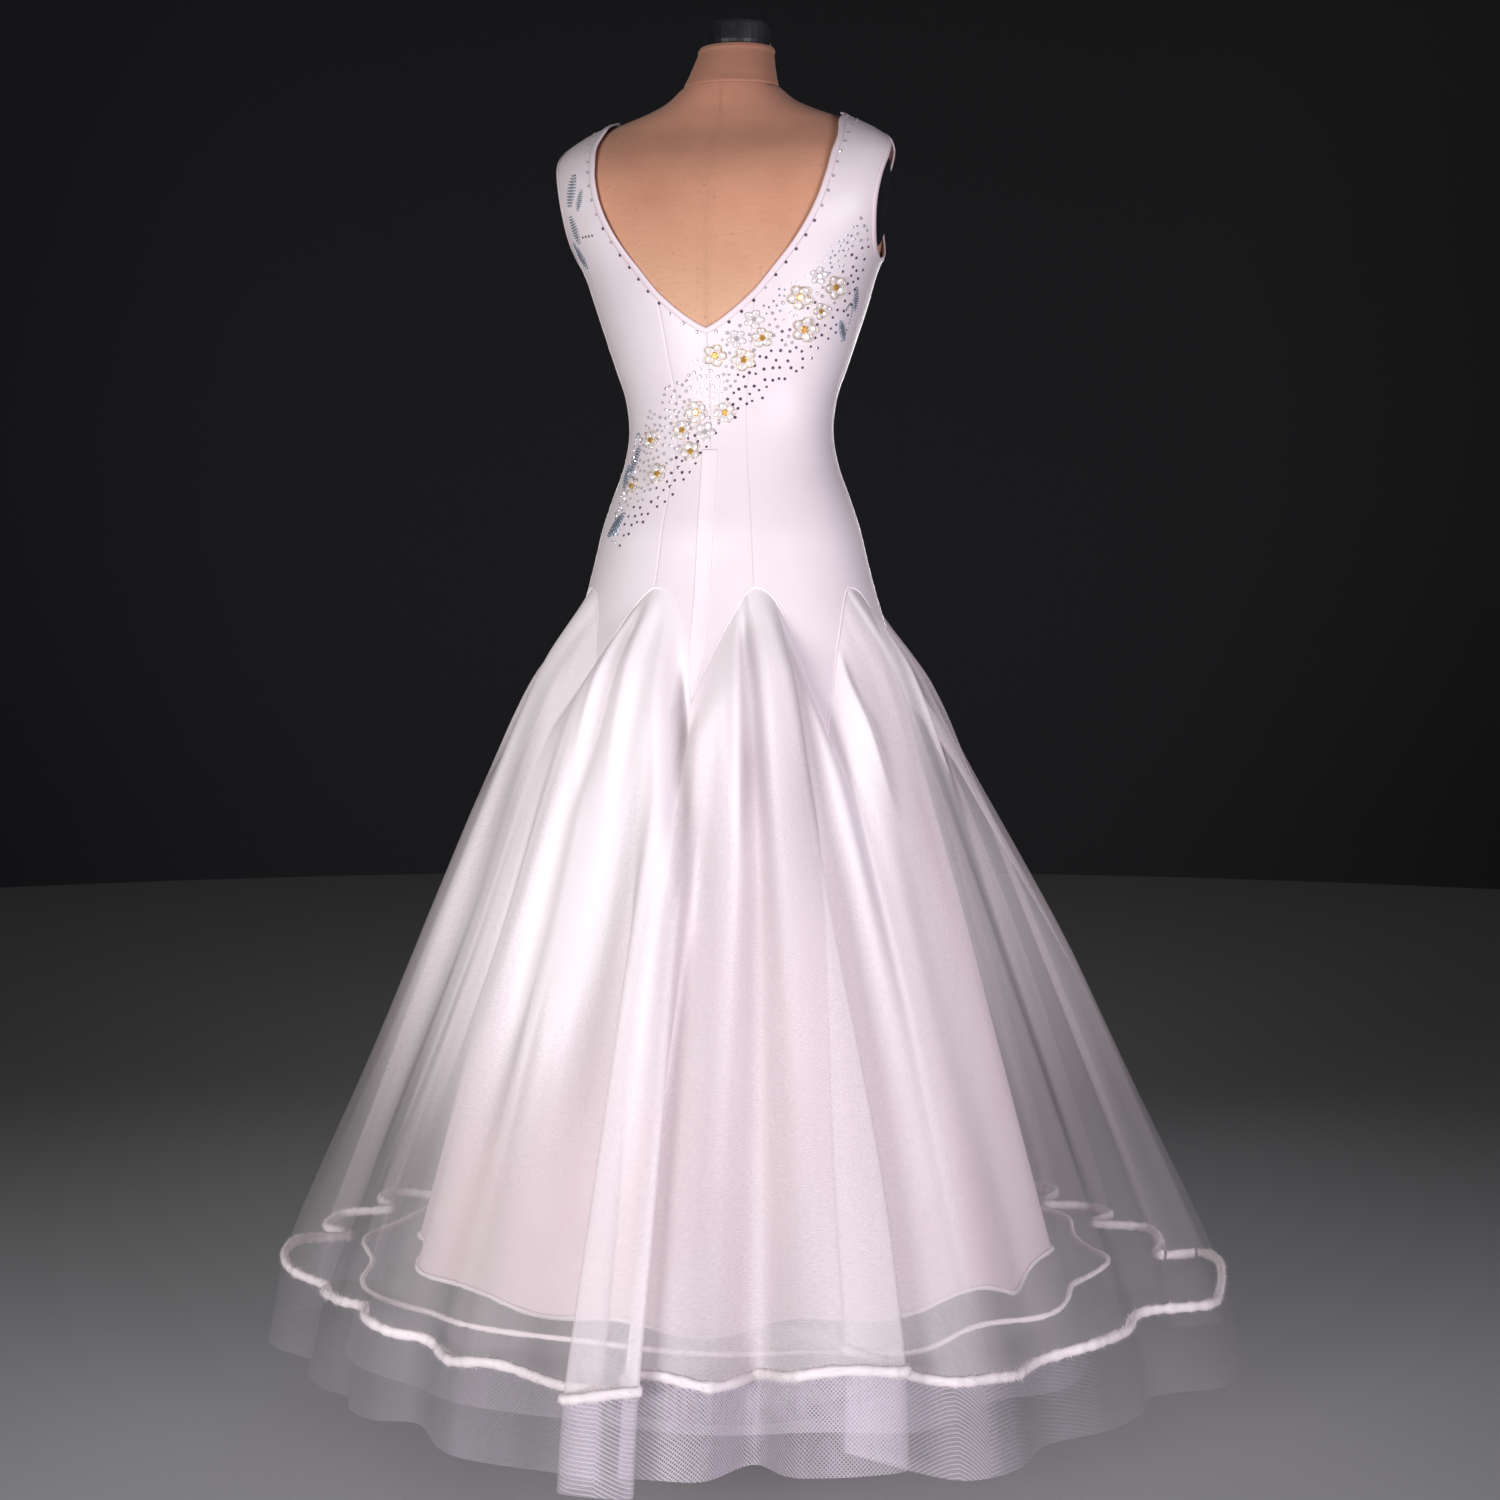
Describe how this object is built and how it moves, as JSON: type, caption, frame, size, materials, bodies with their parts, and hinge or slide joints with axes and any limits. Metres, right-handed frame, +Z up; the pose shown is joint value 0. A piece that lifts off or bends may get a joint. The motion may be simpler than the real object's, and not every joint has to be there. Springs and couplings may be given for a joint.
{
  "type": "ballroom dance dress on a limbless dress form with a stand",
  "caption": "Sleeveless fitted ballroom dance dress with a deep V back, dropped petal waist and full sheer layered skirt, worn by a limbless dress form on a round-based stand.",
  "frame": {"origin": "on the floor, at the centre of the stand's round base, under the pole", "axes": "+Z up; -Y is the way the wearer faces, so the open back faces +Y; -X is the wearer's right"},
  "size_m": [1.128, 1.1106, 1.5813],
  "materials": {
    "satin": "stretch satin with a soft sheen",
    "organza": "sheer crisp organza",
    "horsehair_braid": "open diagonal nylon braid with a slight gloss",
    "lining_cloth": "plain matt lining",
    "form_linen": "plain-weave linen",
    "black_plastic": "polished black",
    "black_steel": "black powder coat",
    "crystal": "foil-backed cut glass stones, sewn or glued on"
  },
  "bodies": {
    "root": {"centre_back_right": "satin", "centre_back_left": "satin", "side_back_right": "satin", "side_back_left": "satin", "front": "satin", "outer_gore_1": "organza", "outer_gore_2": "organza", "outer_gore_3": "organza", "outer_gore_4": "organza", "outer_gore_5": "organza", "outer_gore_6": "organza", "outer_gore_7": "organza", "outer_gore_8": "organza", "outer_hem_braid": "horsehair_braid", "inner_layer_1": "organza", "inner_layer_2": "organza", "inner_layer_3": "organza", "inner_layer_4": "organza", "inner_hem_braid": "horsehair_braid", "lining_1": "lining_cloth", "lining_2": "lining_cloth", "lining_3": "lining_cloth", "lining_4": "lining_cloth", "form_torso": "form_linen", "form_neck": "form_linen", "neck_cap": "black_plastic", "arm_plate_left": "black_plastic", "arm_plate_right": "black_plastic", "stand_pole": "black_steel", "stand_collar": "black_steel", "stand_base": "black_steel"}
  },
  "joints": []
}
